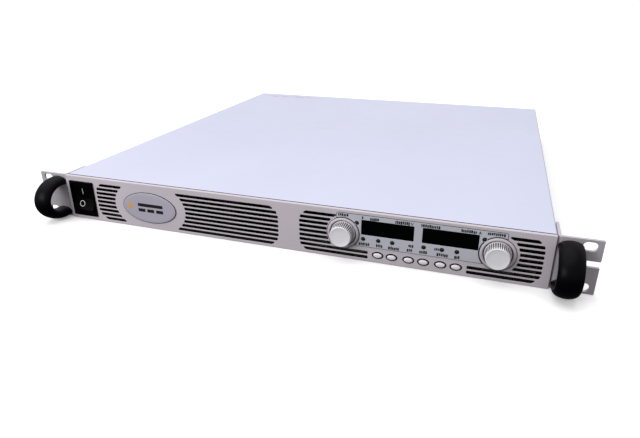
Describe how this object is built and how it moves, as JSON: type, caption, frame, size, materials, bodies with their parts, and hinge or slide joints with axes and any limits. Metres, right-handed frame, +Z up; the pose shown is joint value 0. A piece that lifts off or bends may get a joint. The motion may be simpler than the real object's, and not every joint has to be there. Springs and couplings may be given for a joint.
{
  "type": "bench power supply",
  "caption": "Low, wide rack-mount DC supply: slotted front with rocker switch, oval badge, two knobs, dark displays and small buttons, ears and bow handles, bus bars at the back.",
  "frame": {"origin": "centre of the chassis footprint, on the underside of the tray; the chassis is the case between the front bezel's face and the cover's rear edge, without handles and bus bars", "axes": "+X to the right of the front panel, +Y from the front panel towards the back, +Z up"},
  "size_m": [0.4826, 0.4925, 0.0424],
  "materials": {
    "cover_paint": "satin",
    "case_steel": "satin",
    "bezel_paint": "satin",
    "label_print": "satin",
    "black_plastic": "satin",
    "handle_plastic": "matte",
    "knob_plastic": "satin",
    "dark_window": "gloss",
    "lamp_plastic": "gloss",
    "ear_steel": "satin",
    "screw_steel": "satin",
    "circuit_board": "satin",
    "bare_aluminium": "satin",
    "copper_winding": "satin",
    "ferrite": "matte",
    "capacitor_sleeve": "gloss",
    "tinned_copper": "satin",
    "brass_plating": "satin"
  },
  "bodies": {
    "chassis": {"top_cover": "cover_paint", "chassis_tray": "case_steel", "front_subpanel": "case_steel", "rear_panel": "case_steel", "signal_connector": "case_steel", "front_bezel": "bezel_paint", "control_label": "label_print", "name_badge": "label_print", "power_switch_body": "black_plastic", "voltage_display_module": "black_plastic", "current_display_module": "black_plastic", "voltage_encoder": "black_plastic", "current_encoder": "black_plastic", "fan_frame_left": "black_plastic", "fan_frame_right": "black_plastic", "output_insulator": "black_plastic", "power_inlet": "black_plastic", "sense_connector": "black_plastic", "network_jacks": "black_plastic", "handle_left": "handle_plastic", "handle_right": "handle_plastic", "voltage_display_window": "dark_window", "current_display_window": "dark_window", "light_guide": "lamp_plastic", "rack_ear_left": "ear_steel", "rack_ear_right": "ear_steel", "handle_screw_left_low": "screw_steel", "handle_screw_left_high": "screw_steel", "handle_screw_right_low": "screw_steel", "handle_screw_right_high": "screw_steel", "ear_screw_left_low": "screw_steel", "ear_screw_left_high": "screw_steel", "ear_screw_right_low": "screw_steel", "ear_screw_right_high": "screw_steel", "main_board": "circuit_board", "control_board": "circuit_board", "primary_heatsink": "bare_aluminium", "secondary_heatsink": "bare_aluminium", "line_filter": "bare_aluminium", "transformer_winding": "copper_winding", "output_inductor": "copper_winding", "transformer_core": "ferrite", "bulk_capacitor": "capacitor_sleeve", "output_bar_positive": "tinned_copper", "output_bar_negative": "tinned_copper", "ground_stud": "brass_plating", "ground_nut": "brass_plating"},
    "rocker": {"power_rocker": "black_plastic"},
    "voltage_knob": {"voltage_knob": "knob_plastic", "voltage_shaft": "screw_steel"},
    "current_knob": {"current_knob": "knob_plastic", "current_shaft": "screw_steel"},
    "fan_rotor_left": {"fan_rotor_left": "black_plastic"},
    "fan_rotor_right": {"fan_rotor_right": "black_plastic"},
    "fine_button": {"fine_button": "knob_plastic"},
    "preview_button": {"preview_button": "knob_plastic"},
    "protection_button": {"protection_button": "knob_plastic"},
    "limit_button": {"limit_button": "knob_plastic"},
    "remote_button": {"remote_button": "knob_plastic"},
    "output_button": {"output_button": "knob_plastic"}
  },
  "joints": [
    {"name": "rocker_tilt", "type": "hinge", "parent": "chassis", "child": "rocker", "pos_m": [-0.194, -0.21855, 0.02075], "axis": [1, 0, 0], "range_deg": [0, 20]},
    {"name": "voltage_turn", "type": "hinge", "parent": "chassis", "child": "voltage_knob", "pos_m": [0.0574, -0.22075, 0.0223], "axis": [0, 1, 0], "continuous": true},
    {"name": "current_turn", "type": "hinge", "parent": "chassis", "child": "current_knob", "pos_m": [0.1742, -0.22075, 0.0223], "axis": [0, 1, 0], "continuous": true},
    {"name": "fan_spin_left", "type": "hinge", "parent": "chassis", "child": "fan_rotor_left", "pos_m": [-0.065, -0.20395, 0.0207], "axis": [0, 1, 0], "continuous": true},
    {"name": "fan_spin_right", "type": "hinge", "parent": "chassis", "child": "fan_rotor_right", "pos_m": [-0.0235, -0.20395, 0.0207], "axis": [0, 1, 0], "continuous": true},
    {"name": "fine_press", "type": "slide", "parent": "chassis", "child": "fine_button", "axis": [0, 1, 0], "range_m": [0, 0.0008], "stiffness_N_per_m": 400, "springref_m": -0.0008},
    {"name": "preview_press", "type": "slide", "parent": "chassis", "child": "preview_button", "axis": [0, 1, 0], "range_m": [0, 0.0008], "stiffness_N_per_m": 400, "springref_m": -0.0008},
    {"name": "protection_press", "type": "slide", "parent": "chassis", "child": "protection_button", "axis": [0, 1, 0], "range_m": [0, 0.0008], "stiffness_N_per_m": 400, "springref_m": -0.0008},
    {"name": "limit_press", "type": "slide", "parent": "chassis", "child": "limit_button", "axis": [0, 1, 0], "range_m": [0, 0.0008], "stiffness_N_per_m": 400, "springref_m": -0.0008},
    {"name": "remote_press", "type": "slide", "parent": "chassis", "child": "remote_button", "axis": [0, 1, 0], "range_m": [0, 0.0008], "stiffness_N_per_m": 400, "springref_m": -0.0008},
    {"name": "output_press", "type": "slide", "parent": "chassis", "child": "output_button", "axis": [0, 1, 0], "range_m": [0, 0.0008], "stiffness_N_per_m": 400, "springref_m": -0.0008}
  ]
}
